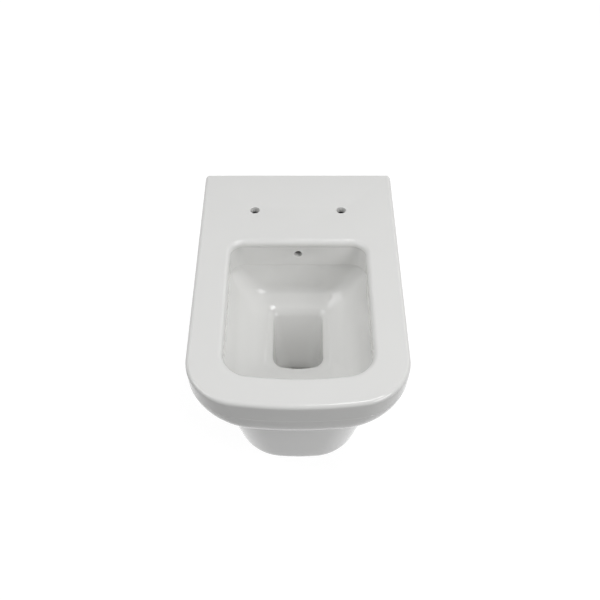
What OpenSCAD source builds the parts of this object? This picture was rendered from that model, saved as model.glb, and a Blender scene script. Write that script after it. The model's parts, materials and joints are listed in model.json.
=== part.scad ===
// Wall hung toilet pan with its wall fixings, flush inlet and waste outlet.
// Millimetres. The wall is the plane y = 0, the pan reaches towards -y, and z points up.
// The origin lies midway between the two wall fixing studs, on the wall.

/* [Deck] */
// Overall width across the deck
pan_w = 346; // [330:1:380]
// Length of the pan from its rear face to the front of the rim
pan_len = 525; // [490:1:560]
// Radius of the rounded top edge of the deck
edge_r = 6.5; // [4:0.5:10]
// Height of the straight band below the deck
band_h = 36; // [30:1:44]
// Radius of the two front corners in plan
corner_r = 87; // [70:1:100]
// Radius of the gently bowed front in plan
front_bow = 672; // [500:1:1200]
// Extra plan radius of the front corners at the foot of the band
band_corner = 7; // [0:1:10]
// Radius of the two rear corners in plan
rear_corner_r = 7; // [3:0.5:10]
// Thickness of the deck plate
deck_t = 12; // [9:0.5:14]
// Thickness of the ceramic walls
wall_t = 11; // [9:0.5:13]

/* [Opening] */
// Width of the bowl opening between the rim lips
open_w = 233; // [220:1:244]
// Distance from the rear face of the pan to the rear lip
open_rear = 179; // [170:1:190]
// Length of the bowl opening from lip to lip
open_len = 289; // [275:1:296]
// Plan radius of the rear corners of the opening
open_rear_r = 25; // [18:1:34]
// Plan radius of the front corners of the opening
open_front_r = 45; // [36:1:60]
// Plan radius of the bowed front of the opening
open_bow = 560; // [400:1:1200]
// Radius of the rounded rim lip
lip_r = 9; // [7:0.2:10]
// How far the lip stands out over the rim skirt
lip_out = 2.5; // [1.5:0.1:3.5]
// Depth of the rim skirt below the deck
skirt_h = 60; // [54:1:66]
// Thickness of the rim skirt
skirt_t = 10; // [8:0.5:12]
// How far the skirt stands out over the bowl wall
skirt_out = 4; // [3:0.5:5]
// Diameter of the jet hole in the rear skirt
jet_d = 14; // [10:1:16]
// Depth of the jet hole below the deck
jet_q = 32.5; // [28:0.5:38]
// Number of rinsing slots under the skirt on each side
slot_count = 4; // [3:1:5]
// Length of each rinsing slot
slot_len = 26; // [16:1:30]
// Height of each rinsing slot
slot_h = 4; // [3:0.5:6]

/* [Bowl] */
// Plan radius of the rear corners of the bowl just below the skirt
bowl_rear_r = 20; // [18:1:26]
// Depth below the deck at which the steep wall of the bowl bends towards the sump
shelf_q = 120; // [116:1:124]
// Width of the bowl at that bend
shelf_w = 192; // [180:1:196]
// Distance from the rear face to that bend at the rear
shelf_rear = 178; // [175:1:182]
// Length of the bowl at that bend
shelf_len = 262; // [250:1:266]
// Plan radius of the rear corners of the bowl at that bend
shelf_rear_r = 45; // [36:1:54]
// Plan radius of the front corners of the bowl at that bend
shelf_front_r = 70; // [60:1:80]
// Depth of the sump edge below the deck
sump_q = 146; // [138:1:154]
// Width of the sump opening
sump_w = 89; // [80:1:96]
// Distance from the rear face to the sump opening
sump_rear = 216; // [210:1:222]
// Length of the sump opening
sump_len = 124; // [112:1:130]
// Plan radius of the rear corners of the sump
sump_rear_r = 9; // [6:1:14]
// Plan radius of the front corners of the sump
sump_front_r = 23; // [18:1:30]
// Depth of the joint between the sump and the trap
trap_q = 200; // [194:1:206]
// Radius of the trap passage
trap_r = 32; // [28:0.5:32]
// Thickness of the flange that closes the rim channel from below
flange_t = 10; // [8:0.5:12]
// Distance from the rear face to the wall behind the rim channel
channel_rear = 130; // [118:1:138]

/* [Lower body] */
// Radius of the rounded underside below the band
under_r = 80; // [72:1:90]
// Further plan radius that the front corners gain over the rounded underside
under_corner = 24; // [14:1:30]
// Depth below the deck at which the lower body starts
leg_q = 100; // [96:1:106]
// Overall height of the pan below the deck
pan_h = 332; // [326:1:345]
// Width of the lower body at its top
leg_top_w = 270; // [262:1:276]
// Width of the lower body projected to its bottom
leg_low_w = 200; // [192:1:210]
// Length of the lower body at its top
leg_top_len = 492; // [480:1:496]
// Length of the lower body projected to its bottom
leg_low_len = 420; // [410:1:430]
// Plan radius of the front corners of the lower body at its top
leg_top_r = 95; // [80:1:105]
// Plan radius of the front corners of the lower body at its bottom
leg_low_r = 77; // [68:1:84]
// Plan radius of the bowed front of the lower body
leg_bow = 360; // [300:1:500]
// Radius of the rounding along the bottom
foot_r = 56; // [50:1:60]
// Thickness of the rear wall of the pan
rear_t = 14; // [11:0.5:16]
// Width of the service opening in the rear wall
window_w = 144; // [136:1:150]
// Depth below the deck of the top of the service opening
window_top = 112; // [108:1:116]
// Height of the service opening
window_h = 150; // [140:1:156]

/* [Seat holes] */
// Spacing of the two seat hinge holes
seat_spacing = 155; // [140:1:165]
// Distance from the rear face to the seat hinge holes
seat_setback = 97; // [85:1:108]
// Diameter of the seat hinge holes
seat_d = 16.5; // [12:0.5:18]

/* [Wall fixing] */
// Spacing of the two wall fixing studs
fix_spacing = 180; // [176:1:184]
// Depth of the wall fixing studs below the deck
fix_q = 80; // [77:1:83]
// Diameter of the studs
stud_d = 12; // [10:1:12]
// Length of stud that goes into the wall frame
stud_back = 45; // [30:1:60]
// Diameter of the bracket hub that carries the pan
hub_d = 28; // [24:1:30]
// Length of the bracket hub
hub_len = 62; // [50:1:70]
// Depth of the locking screw below the deck
lock_q = 127; // [126:1:132]
// Distance from the rear face to the locking screw
lock_p = 45; // [40:1:50]
// Diameter of the locking screw
lock_d = 10; // [8:1:10]
// Diameter of the hole in the side of the pan for the screw bush
bush_hole_d = 20; // [18:1:22]
// Diameter of the cover caps
cap_d = 26; // [25:1:30]
// Gap between pieces that fit into each other
fit = 0.3; // [0.2:0.05:0.4]

/* [Water connections] */
// Depth of the flush inlet below the deck
inlet_q = 45; // [45:1:48]
// Bore of the flush inlet socket
inlet_d = 55; // [52:1:57]
// Depth of the inlet socket
inlet_socket = 48; // [42:1:54]
// Outer diameter of the flush pipe
pipe_d = 45; // [40:1:46]
// Wall of the flush pipe
pipe_t = 2.4; // [2:0.1:3]
// Length of flush pipe behind the wall
pipe_back = 15; // [5:1:18]
// Depth of the waste outlet below the deck
outlet_q = 180; // [176:1:184]
// Outer diameter of the waste spigot
spigot_d = 102; // [98:1:104]
// Bore of the waste spigot
spigot_bore = 84; // [80:1:88]
// Distance from the rear face to the end of the spigot
spigot_p = 20; // [16:1:24]
// Outer diameter of the waste pipe
waste_d = 90; // [86:1:92]
// Wall of the waste connector
waste_t = 3.5; // [3:0.1:4]
// Length of waste pipe behind the wall
waste_back = 70; // [40:1:90]
// Thickness of the insulating gasket on the wall
gasket_t = 3; // [3:0.5:6]

/* [Hidden] */

// Every shape below is laid out with p, the distance from the rear face towards the front,
// and q, the depth below the deck. These two turn them into y and z.
deck_z = fix_q;
function y_of(p) = -gasket_t - p;
function z_of(q) = deck_z - q;

china = [0.87, 0.87, 0.855];
steel = [0.62, 0.63, 0.65];
plastic = [0.93, 0.93, 0.92];
rubber = [0.13, 0.13, 0.14];
pipe_black = [0.16, 0.16, 0.17];
foam = [0.80, 0.81, 0.80];

// Points along each rear corner, each front corner and the bowed front of an outline
rear_n = 3;
front_n = 9;
bow_n = 8;
ring_n = 2 * (rear_n + 1) + 2 * (front_n + 1) + bow_n - 1;

open_front = open_rear + open_len;
// Smallest plan radius that an inset outline keeps
min_r = 1;

// Value at the share s of the way from a to b
function mix(a, b, s) = a + (b - a) * s;

// Points of the two large front corners and the bowed front of a plan outline
function front_points(hw, p1, rf, bow) =
  let (
    cx = hw - rf,
    by = p1 - bow,
    cy = by + sqrt(pow(bow - rf, 2) - cx * cx),
    turn = atan2(cy - by, cx)
  )
  concat(
    [for (i = [0:front_n]) let (a = turn * i / front_n) [cx + rf * cos(a), cy + rf * sin(a)]],
    [for (i = [1:bow_n - 1]) let (a = mix(turn, 180 - turn, i / bow_n))
      [bow * cos(a), by + bow * sin(a)]],
    [for (i = [front_n:-1:0]) let (a = turn * i / front_n) [-cx - rf * cos(a), cy + rf * sin(a)]]
  );

// Points of the left or right rear corner of a plan outline
function rear_points(side, hw, p0, rr) =
  [for (i = side > 0 ? [0:rear_n] : [rear_n:-1:0]) let (a = 90 * i / rear_n - 90)
    [side * (hw - rr + rr * cos(a)), p0 + rr + rr * sin(a)]];

// Plan outline with small rounded rear corners
function outline(hw, p0, p1, rr, rf, bow) =
  concat(rear_points(1, hw, p0, rr), front_points(hw, p1, rf, bow), rear_points(-1, hw, p0, rr));

// Plan outline with square rear corners
function square_outline(hw, p0, p1, rf, bow) =
  concat([[hw, p0]], front_points(hw, p1, rf, bow), [[-hw, p0]]);

// A flat ring of points at depth q
function ring(pts, q) = [for (v = pts) [v[0], y_of(v[1]), z_of(q)]];

// Extra plan radius of the front corners at depth q
function corner_extra(q) = q <= band_h ? band_corner * max(0, q - edge_r) / (band_h - edge_r)
  : band_corner + under_corner * (q - band_h) / (under_end - band_h);

// Outline of the pan at depth q, moved in by d at the sides and front and starting at the
// distance back
function pan_outline(d, back, q) = outline(pan_w / 2 - d, back, pan_len - d,
  max(min_r, rear_corner_r - min(d, back + rear_corner_r)), corner_r - d + corner_extra(q),
  front_bow - d);

// Outline of the bowl opening, moved out by d all round
function open_outline(d) = outline(open_w / 2 + d, open_rear - d, open_front + d,
  open_rear_r + d, open_front_r + d, open_bow + d);

// How far the rounded underside has drawn in at depth q
function under_in(q) = under_r - sqrt(pow(under_r, 2) - pow(max(0, q - band_h), 2));

// Joins rings of equal length into one closed surface, either as a loop or capped at both ends
module loft(rings, looped) {
  count = len(rings);
  n = len(rings[0]);
  last = looped ? count - 1 : count - 2;
  sides = [for (i = [0:last], j = [0:n - 1], half = [0, 1])
    let (
      a = i * n + j,
      b = i * n + (j + 1) % n,
      c = ((i + 1) % count) * n + (j + 1) % n,
      d = ((i + 1) % count) * n + j
    )
    half == 0 ? [a, b, c] : [a, c, d]];
  caps = looped ? [] : [[for (j = [n - 1:-1:0]) j], [for (j = [0:n - 1]) (count - 1) * n + j]];
  polyhedron(points = [for (r = rings) each r], faces = concat(sides, caps), convexity = 12);
}

// A cylinder along y whose rear end is at the distance p from the rear face
module tube_y(x, q, p, len, d) {
  translate([x, y_of(p), z_of(q)]) rotate([90, 0, 0]) cylinder(h = len, d = d, $fn = 96);
}

// The same shape on the left and on the right
module both_sides() {
  for (side = [-1, 1]) scale([side, 1, 1]) children();
}

// Steps along the rounded edge and the rounded lip
edge_steps = 4;
lip_steps = 8;
// Angle at which the lip rounding meets the face of the skirt
lip_end = 180 - asin(1 - lip_out / lip_r);
skirt_chamfer = 1.5;
channel_wall_t = 10;
// How far a cutting shape runs past the face it cuts
overlap = 1;
// Straight part of the skirt sides that the rinsing slots are spread over
slots_p = [open_rear + open_rear_r + 20, open_front - open_front_r - 20];
// Half the distance between the two rinsing slots at the front
front_slot_x = 30;

// Deck, band, rounded lip and rim skirt, hollow from below
module rim_deck() {
  rings = concat(
    [ring(pan_outline(0, 0, band_h), band_h)],
    [for (i = [0:edge_steps]) let (a = 90 * i / edge_steps, d = edge_r * (1 - cos(a)))
      ring(pan_outline(d, d, 0), edge_r * (1 - sin(a)))],
    [for (i = [0:lip_steps]) let (a = lip_end * i / lip_steps)
      ring(open_outline(lip_r * (1 - sin(a))), lip_r * (1 - cos(a)))],
    [ring(open_outline(lip_out), skirt_h - skirt_chamfer)],
    [ring(open_outline(lip_out + skirt_chamfer), skirt_h)],
    [ring(open_outline(lip_out + skirt_t), skirt_h)],
    [ring(open_outline(lip_out + skirt_t), deck_t)],
    [for (q = [deck_t, band_h]) ring(pan_outline(wall_t, rear_t, q), q)]
  );
  inner = pan_w / 2 - wall_t;
  low = under_in(skirt_h) + fit;
  color(china) difference() {
    union() {
      loft(rings, true);
      // Wall behind the rim channel
      translate([0, y_of(channel_rear), deck_z]) rotate([90, 0, 0])
        linear_extrude(height = channel_wall_t) polygon([
          [-inner - overlap, overlap - deck_t], [-inner - overlap, -band_h], [-inner, -band_h],
          [low - inner, -skirt_h], [inner - low, -skirt_h],
          [inner, -band_h], [inner + overlap, -band_h], [inner + overlap, overlap - deck_t]]);
    }
    for (x = [-1, 1] * seat_spacing / 2)
      translate([x, y_of(seat_setback), z_of(deck_t + overlap)])
        cylinder(h = deck_t + 2 * overlap, d = seat_d, $fn = 64);
    tube_y(0, jet_q, open_rear - lip_out - skirt_t - overlap, skirt_t + lip_r, jet_d);
    tube_y(0, inlet_q, -overlap, rear_t + 2 * overlap, horn_d + 2 * fit);
    tube_y(0, inlet_q, channel_rear - overlap, channel_wall_t + 2 * overlap, passage_d);
    for (x = [-1, 1] * (open_w / 2 + lip_out + skirt_t / 2), i = [0:slot_count - 1])
      rinsing_slot(x, mix(slots_p[0], slots_p[1], i / (slot_count - 1)), skirt_t, slot_len);
    for (x = [-1, 1] * front_slot_x)
      rinsing_slot(x, open_front + lip_out + skirt_t / 2, slot_len, skirt_t);
  }
}

// Cuts a slot through the lower edge of the skirt
module rinsing_slot(x, p, along_x, along_p) {
  size = [along_x + 4 * overlap, along_p + 4 * overlap];
  translate([x, y_of(p), z_of(skirt_h + overlap)]) linear_extrude(height = slot_h + overlap)
    square(size, center = true);
}

// Plan radius of the bowed front of the bowl at its bend, and of the sump
shelf_bow = 400;
sump_bow = 120;
// How far a face of the bowl lies below the one on its inner side where the bowl is flat
floor_drop = 7;

// The bowl runs between three rings: below the skirt, at its bend and at the sump edge. Each
// is grown by d and laid at the given depth.
function bowl_top(d, q) =
  let (e = lip_out + skirt_out + d)
  ring(outline(open_w / 2 + e, open_rear - e, open_front + e, bowl_rear_r + d, open_front_r + e,
    open_bow + e), q);
function bowl_bend(d, q) = ring(outline(shelf_w / 2 + d, shelf_rear - d, shelf_rear + shelf_len + d,
  shelf_rear_r + d, shelf_front_r + d, shelf_bow + d), q);
function bowl_edge(d, q) = ring(sump_outline(sump_q, d), q);

// Shares of the steep wall and of the floor that the curve of the bend takes up
bend_up = 0.2;
bend_in = 0.3;
// Shares of the floor and of the sump wall that the rounded sump edge takes up
edge_out = 0.2;
edge_down = 0.15;
well_share = 0.4;

// Ring at the share t of the curve that rounds the corner between the rings a, b and c
function rounded(a, b, c, t) = pow(1 - t, 2) * a + 2 * t * (1 - t) * b + t * t * c;

// Outline of the sump well at depth q, grown by d
function sump_outline(q, d) =
  let (s = (q - sump_q) / (trap_q - sump_q))
  outline(
    mix(sump_w / 2, well_hw, s) + d,
    mix(sump_rear, well_rear, s) - d,
    mix(sump_rear + sump_len, well_front, s) + d,
    mix(sump_rear_r, well_r, s) + d,
    mix(sump_front_r, well_r, s) + d,
    mix(sump_bow, well_bow, s) + d);

// Outline of the well where the trap starts
well_side = 8;
well_lean = 22;
well_hw = trap_r + well_side;
well_rear = sump_rear;
well_front = sump_rear + sump_len - well_lean;
well_r = 26;
well_bow = 90;

// Bowl with the sump well, and the flange that closes the rim channel
module bowl() {
  flange_low = skirt_h + flange_t;
  well_mid_q = mix(sump_q, trap_q, well_share);
  top = bowl_top(0, skirt_h);
  bend = bowl_bend(0, shelf_q);
  edge = bowl_edge(0, sump_q);
  well = ring(sump_outline(trap_q, 0), trap_q);
  bend_start = mix(bend, top, bend_up);
  bend_end = mix(bend, edge, bend_in);
  edge_start = mix(edge, bend, edge_out);
  edge_end = mix(edge, well, edge_down);
  out_top = bowl_top(wall_t, flange_low);
  out_bend = bowl_bend(wall_t, shelf_q + floor_drop);
  out_edge = bowl_edge(wall_t, sump_q + floor_drop);
  rings = concat(
    [top],
    [for (t = [0, 0.5, 1]) rounded(bend_start, bend, bend_end, t)],
    [for (t = [0, 0.5, 1]) rounded(edge_start, edge, edge_end, t)],
    [for (q = [well_mid_q, trap_q]) ring(sump_outline(q, 0), q)],
    [for (q = [trap_q, well_mid_q]) ring(sump_outline(q, wall_t), q)],
    [out_edge],
    [mix(out_bend, out_edge, bend_in), mix(out_bend, out_top, bend_up)],
    [out_top],
    [for (q = [flange_low, skirt_h]) ring(pan_outline(wall_t + under_in(q) + fit, channel_rear, q), q)]
  );
  color(china) loft(rings, true);
}

// Half the width of the lower body at depth q
function leg_hw(q) = mix(leg_top_w, leg_low_w, (q - leg_q) / (pan_h - leg_q)) / 2;

// The casing is laid out in levels. Each is a depth with the half width, the front, the corner
// radius and the front radius of the outline there, all moved in by d.
function under_level(q, d) =
  let (e = under_in(q) + d)
  [q, pan_w / 2 - e, pan_len - e, corner_r - e + corner_extra(q), front_bow - e];
function leg_level(q, d) =
  let (s = (q - leg_q) / (pan_h - leg_q))
  [q, leg_hw(q) - d, mix(leg_top_len, leg_low_len, s) - d, mix(leg_top_r, leg_low_r, s) - d, leg_bow - d];

// The neck is the hollow curve between the rounded underside and the lower body
function neck_level(t, d) =
  pow(1 - t, 2) * under_level(under_end, d) + 2 * t * (1 - t) * leg_level(leg_q, d)
  + t * t * leg_level(neck_q, d);
under_end = leg_q - 10;
neck_q = leg_q + 12;
foot_q = pan_h - foot_r;

// Steps along the rounded underside, the neck and the rounded foot
under_n = 6;
neck_n = 4;
foot_n = 6;
function under_levels(d) = [for (i = [0:under_n]) under_level(mix(band_h, under_end, i / under_n), d)];
function neck_levels(d) = [for (i = [1:neck_n]) neck_level(i / neck_n, d)];
function leg_levels(d) = [for (q = [neck_q, mix(neck_q, foot_q, 0.5), foot_q]) leg_level(q, d)];
function foot_levels(d) =
  let (r = foot_r - d)
  [for (i = [0:foot_n]) let (a = 90 * i / foot_n) leg_level(foot_q + r * sin(a), d + r * (1 - cos(a)))];

// A solid through the given levels that starts at the distance back
module levels_solid(levels, back) {
  loft([for (i = [len(levels) - 1:-1:0]) let (v = levels[i])
    ring(square_outline(v[1], back, v[2], v[3], v[4]), v[0])], false);
}

// Rounded underside below the band, with the neck
module belly() {
  color(china) difference() {
    levels_solid(concat(under_levels(0), neck_levels(0)), rear_t);
    levels_solid(concat([under_level(band_h - overlap, wall_t)], under_levels(wall_t),
      neck_levels(wall_t), [leg_level(neck_q + overlap, wall_t)]), rear_t - overlap);
  }
}

// Narrow lower body, with the side holes for the locking screws
module lower_body() {
  color(china) difference() {
    levels_solid(leg_levels(0), rear_t);
    levels_solid(concat([leg_level(neck_q - overlap, wall_t)], leg_levels(wall_t),
      [leg_level(foot_q + overlap, wall_t)]), rear_t - overlap);
    both_sides() lock_frame()
      translate([0, 0, -2 * wall_t]) cylinder(h = 3 * wall_t, d = bush_hole_d, $fn = 64);
  }
}

// Rounded bottom of the lower body
module foot() {
  color(china) difference() {
    levels_solid(foot_levels(0), rear_t);
    levels_solid(concat([leg_level(foot_q - overlap, wall_t)], foot_levels(wall_t)), rear_t - overlap);
  }
}

// Rear wall of the casing, with the holes for the inlet and the hubs and the service opening
module rear_wall() {
  levels = concat(under_levels(0), neck_levels(0), [leg_levels(0)[1]], foot_levels(0));
  color(china) difference() {
    loft([for (i = [len(levels) - 1:-1:0]) let (hw = levels[i][1])
      ring(concat(rear_points(1, hw, 0, rear_corner_r), [[hw, rear_t], [-hw, rear_t]],
        rear_points(-1, hw, 0, rear_corner_r)), levels[i][0])], false);
    tube_y(0, inlet_q, -overlap, rear_t + 2 * overlap, horn_d + 2 * fit);
    for (x = [-1, 1] * fix_spacing / 2)
      tube_y(x, fix_q, -overlap, rear_t + 2 * overlap, hub_d + 2 * fit);
    translate([0, y_of(-overlap), z_of(window_top)]) rotate([90, 0, 0])
      linear_extrude(height = rear_t + 2 * overlap)
        translate([-window_w / 2, -window_h]) square([window_w, window_h]);
  }
}

// Frame of the locking screw: its origin is on the outer face of the lower body, z points out
lock_tilt = atan((leg_top_w - leg_low_w) / 2 / (pan_h - leg_q));
module lock_frame() {
  translate([leg_hw(lock_q), y_of(lock_p), z_of(lock_q)]) rotate([0, 90 + lock_tilt, 0]) children();
}

// Centre line of the trap as p and q: down from the well, round the bend, up over the weir
// and back down to the spigot. Both bends keep clear of the wall of the passage.
bend_r = trap_r + wall_t + overlap;
well_mid = (well_rear + well_front) / 2;
bend_q = pan_h - 2 * wall_t - bend_r - trap_r - overlap;
spigot_len = 40;
spigot_in = spigot_p + spigot_len;
// Length over which the passage opens to the bore of the spigot
flare_len = 8;
weir_rise = 10;
weir_turn = acos(1 - weir_rise / (2 * bend_r));
bend_at = [well_mid - bend_r, bend_q];
weir_at = [spigot_in + flare_len + 2 * bend_r * sin(weir_turn), outlet_q - weir_rise + bend_r];
// Rise of the straight limb between the two bends
limb = atan2(bend_at[1] - weir_at[1], bend_at[0] - weir_at[0])
  + asin(2 * bend_r / norm(bend_at - weir_at));
drop_n = 4;
bend_n = 8;
weir_n = 5;
out_n = 3;
function around(at, a) = at + bend_r * [cos(a), sin(a)];
// Each entry is a point of the centre line and the direction of the passage there
trap_path = concat(
  [for (i = [0:drop_n - 1]) [[well_mid, mix(trap_q, bend_q, i / drop_n)], [0, 1]]],
  [for (i = [0:bend_n]) let (a = (90 + limb) * i / bend_n) [around(bend_at, a), [-sin(a), cos(a)]]],
  [for (i = [0:weir_n]) let (a = mix(limb, -weir_turn, i / weir_n))
    [around(weir_at, a - 90), [-cos(a), -sin(a)]]],
  [for (i = [1:out_n]) let (a = -weir_turn * (1 - i / out_n))
    [around([spigot_in + flare_len, outlet_q - bend_r], a + 90), [-cos(a), -sin(a)]]],
  [[[spigot_in, outlet_q], [-1, 0]]]
);
path_n = len(trap_path);

// Section points of the well about its own centre, and of a round passage, in the same order
function well_section(d) = [for (v = sump_outline(trap_q, d)) [v[0], v[1] - well_mid]];
// Angles on the round passage at which the front corners of an outline start and end
gap_turn = 8;
bow_turn = 48;
round_turns = concat(
  [for (i = [0:rear_n]) mix(gap_turn - 90, -gap_turn, i / rear_n)],
  [for (i = [0:front_n]) mix(gap_turn, bow_turn, i / front_n)],
  [for (i = [1:bow_n - 1]) mix(bow_turn, 180 - bow_turn, i / bow_n)],
  [for (i = [front_n:-1:0]) 180 - mix(gap_turn, bow_turn, i / front_n)],
  [for (i = [rear_n:-1:0]) 180 - mix(gap_turn - 90, -gap_turn, i / rear_n)]
);
function round_section(r) = [for (a = round_turns) [r * cos(a), r * sin(a)]];

// The passage becomes round on its way down, and opens to the spigot at its very end
function trap_ring(i, d) =
  let (
    s = min(1, i / drop_n),
    r = i < path_n - 1 ? trap_r + d : d > 0 ? spigot_d / 2 : spigot_bore / 2,
    w = well_section(d),
    c = round_section(r),
    t = trap_path[i][1]
  )
  [for (j = [0:ring_n - 1])
    let (
      v = mix(w[j], c[j], s),
      at = trap_path[i][0] + v[1] * [t[1], -t[0]]
    )
    [v[0], y_of(at[0]), z_of(at[1])]];

// Stretch of the trap passage from one point of its centre line to another
module trap_part(first, last) {
  color(china) loft(concat([for (i = [first:last]) trap_ring(i, 0)],
    [for (i = [last:-1:first]) trap_ring(i, wall_t)]), true);
}

// From the well down to the bend
module trap_inlet() trap_part(0, drop_n);

// The bottom bend, which holds the water seal
module trap_bend() trap_part(drop_n, drop_n + bend_n);

// Up over the weir and back to the spigot
module trap_weir() trap_part(drop_n + bend_n, path_n - 1);

// The round waste outlet
module waste_spigot() {
  color(china) difference() {
    tube_y(0, outlet_q, spigot_p, spigot_len, spigot_d);
    tube_y(0, outlet_q, spigot_p - overlap, spigot_len + 2 * overlap, spigot_bore);
  }
}

// The horn reaches up to the underside of the deck
horn_d = 2 * (inlet_q - deck_t);
// Passage between the inlet socket and the rim channel
passage_d = 46;

// Flush inlet: a socket for the seal, and a passage to the rim channel
module inlet_horn() {
  color(china) difference() {
    tube_y(0, inlet_q, 0, channel_rear, horn_d);
    tube_y(0, inlet_q, -overlap, inlet_socket + overlap, inlet_d);
    tube_y(0, inlet_q, 0, channel_rear + overlap, passage_d);
  }
}

// Play of a nut or hub on its stud, and of a washer
stud_play = 0.2;
washer_play = 1;
washer_t = 2.5;
washer_d = hub_d - 2;
nut_h = 10;
// Width of the nut across its flats
nut_af = 19;
// Length of stud left in front of its nut
stud_end = 5;
// Lug for the locking screw, and how far inside the pan face it lies
lug_d = 18;
lug_in = 25;
// Arm between hub and lug: its width, and its length along the stud
arm_w = 16;
arm_len = 14;
hub_plate_d = 40;
nut_p = hub_len - gasket_t;
stud_front = nut_p + washer_t + nut_h + stud_end;

// Two threaded studs that stand out of the wall frame
module wall_studs() {
  color(steel) for (x = [-1, 1] * fix_spacing / 2) {
    tube_y(x, fix_q, -gasket_t - stud_back, stud_back, stud_d);
    tube_y(x, fix_q, -gasket_t - overlap, stud_front + gasket_t + overlap, stud_d - stud_play);
  }
}

// A flat washer on each hub
module stud_washers() {
  color(steel) for (x = [-1, 1] * fix_spacing / 2) difference() {
    tube_y(x, fix_q, nut_p, washer_t, washer_d);
    tube_y(x, fix_q, nut_p - overlap, washer_t + 2 * overlap, stud_d + washer_play);
  }
}

// A hexagon nut on each washer
module stud_nuts() {
  color(steel) for (x = [-1, 1] * fix_spacing / 2) difference() {
    translate([x, y_of(nut_p + washer_t), z_of(fix_q)]) rotate([90, 0, 0])
      cylinder(h = nut_h, d = nut_af / cos(30), $fn = 6);
    tube_y(x, fix_q, nut_p + washer_t - overlap, nut_h + 2 * overlap, stud_d + stud_play);
  }
}

// Cast brackets on the studs: the hub carries the pan, the lug takes the locking screw
module fixing_brackets() {
  lug_x = leg_hw(lock_q) - lug_in * cos(lock_tilt);
  lug_q = lock_q - lug_in * sin(lock_tilt);
  hub_x = fix_spacing / 2;
  reach = norm([lug_x - hub_x, lug_q - fix_q]);
  turn = atan2(fix_q - lug_q, lug_x - hub_x);
  color(steel) both_sides() difference() {
    union() {
      tube_y(hub_x, fix_q, -gasket_t, hub_len, hub_d);
      tube_y(hub_x, fix_q, -gasket_t, gasket_t - fit, hub_plate_d);
      translate([hub_x, y_of(lock_p - arm_len / 2), z_of(fix_q)]) rotate([90, 0, 0])
        linear_extrude(height = arm_len) {
          rotate([0, 0, turn]) translate([0, -arm_w / 2]) square([reach, arm_w]);
          translate([lug_x - hub_x, fix_q - lug_q]) circle(d = lug_d, $fn = 64);
        }
    }
    tube_y(hub_x, fix_q, -gasket_t - overlap, hub_len + 2 * overlap, stud_d + stud_play);
    lock_frame() translate([0, 0, -lug_in - lug_d])
      cylinder(h = 2 * lug_d, d = lock_d, $fn = 48);
  }
}

screw_len = 30;
// How far the outer end of the screw lies inside the pan face
screw_in = 3;
// Play of the screw in its lug, and in its bush
screw_play = 0.2;
bush_play = 0.6;
// Socket for the hexagon key: width across flats and depth
hex_key = 5;
hex_deep = 6;

// Set screws that lock the pan onto the brackets
module lock_screws() {
  color(steel) both_sides() lock_frame() difference() {
    translate([0, 0, -screw_in - screw_len]) cylinder(h = screw_len, d = lock_d - screw_play, $fn = 48);
    translate([0, 0, -screw_in - hex_deep])
      cylinder(h = hex_deep + overlap, d = hex_key / cos(30), $fn = 6);
  }
}

bush_flange_t = 1.5;
bush_flange_d = bush_hole_d + 2.5;

// Plastic bushes that centre the set screws in the ceramic
module screw_bushes() {
  color(plastic) both_sides() lock_frame() difference() {
    union() {
      translate([0, 0, -wall_t]) cylinder(h = wall_t + fit, d = bush_hole_d - 2 * fit, $fn = 64);
      translate([0, 0, fit]) cylinder(h = bush_flange_t, d = bush_flange_d, $fn = 64);
    }
    translate([0, 0, -wall_t - overlap]) cylinder(h = 3 * wall_t, d = lock_d + bush_play, $fn = 48);
  }
}

// Height of the cap at its edge, its domed rise and the rounding of its edge
cap_t = 3.4;
cap_dome = 0.6;
cap_round = 1.6;
cap_steps = 4;

// Push-on caps over the bushes
module cover_caps() {
  r = cap_d / 2;
  recess_r = bush_flange_d / 2 + fit;
  color(plastic) both_sides() lock_frame() translate([0, 0, fit])
    rotate_extrude($fn = 64) polygon(concat(
      [[0, bush_flange_t], [recess_r, bush_flange_t], [recess_r, 0], [r, 0]],
      [for (i = [0:cap_steps]) let (a = 90 * i / cap_steps)
        [r - cap_round + cap_round * cos(a), cap_t - cap_round + cap_round * sin(a)]],
      [[0, cap_t + cap_dome]]));
}

// Gap between a seal and the faces it seals
seal_fit = 0.1;
// Depth of the grooves between the sealing lips
relief = 1.2;
// Height of the collar that rests on the mouth of the socket
collar = 3.5;
// Grooves round the outside of the inlet seal: places and half width
groove_p = [11, 25];
groove_hw = 3;
// Sealing lips on the flush pipe: front lip from the inner end, rear lip by its two ends
front_lip = 12;
rear_lip = [12, 22];
lip_slope = 2;

// Rubber cone seal between the inlet socket and the flush pipe
module inlet_seal() {
  r_in = pipe_d / 2 + seal_fit;
  r_out = inlet_d / 2 - seal_fit;
  r_free = r_in + relief;
  deep = inlet_socket - 2 * groove_hw;
  color(rubber) translate([0, y_of(0), z_of(inlet_q)]) rotate([90, 0, 0])
    rotate_extrude($fn = 96) polygon(concat(
      [[r_free, fit - gasket_t], [r_out + collar, fit - gasket_t], [r_out + collar, -seal_fit],
        [r_out, -seal_fit]],
      [for (p = groove_p, side = [-1, 0, 1]) [r_out - relief * (1 - abs(side)), p + side * groove_hw]],
      [[r_out, deep - 2 * collar], [r_out - 2 * relief, deep], [r_in, deep], [r_in, deep - front_lip],
        [r_free, deep - front_lip - lip_slope], [r_free, rear_lip[1] + lip_slope], [r_in, rear_lip[1]],
        [r_in, rear_lip[0]], [r_free, rear_lip[0] - lip_slope]]));
}

// Flush pipe from the cistern
module flush_pipe() {
  front = inlet_socket - fit;
  color(pipe_black) difference() {
    tube_y(0, inlet_q, -gasket_t - pipe_back, front + gasket_t + pipe_back, pipe_d);
    tube_y(0, inlet_q, -gasket_t - pipe_back - overlap, front + gasket_t + pipe_back + 2 * overlap,
      pipe_d - 2 * pipe_t);
  }
}

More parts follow.
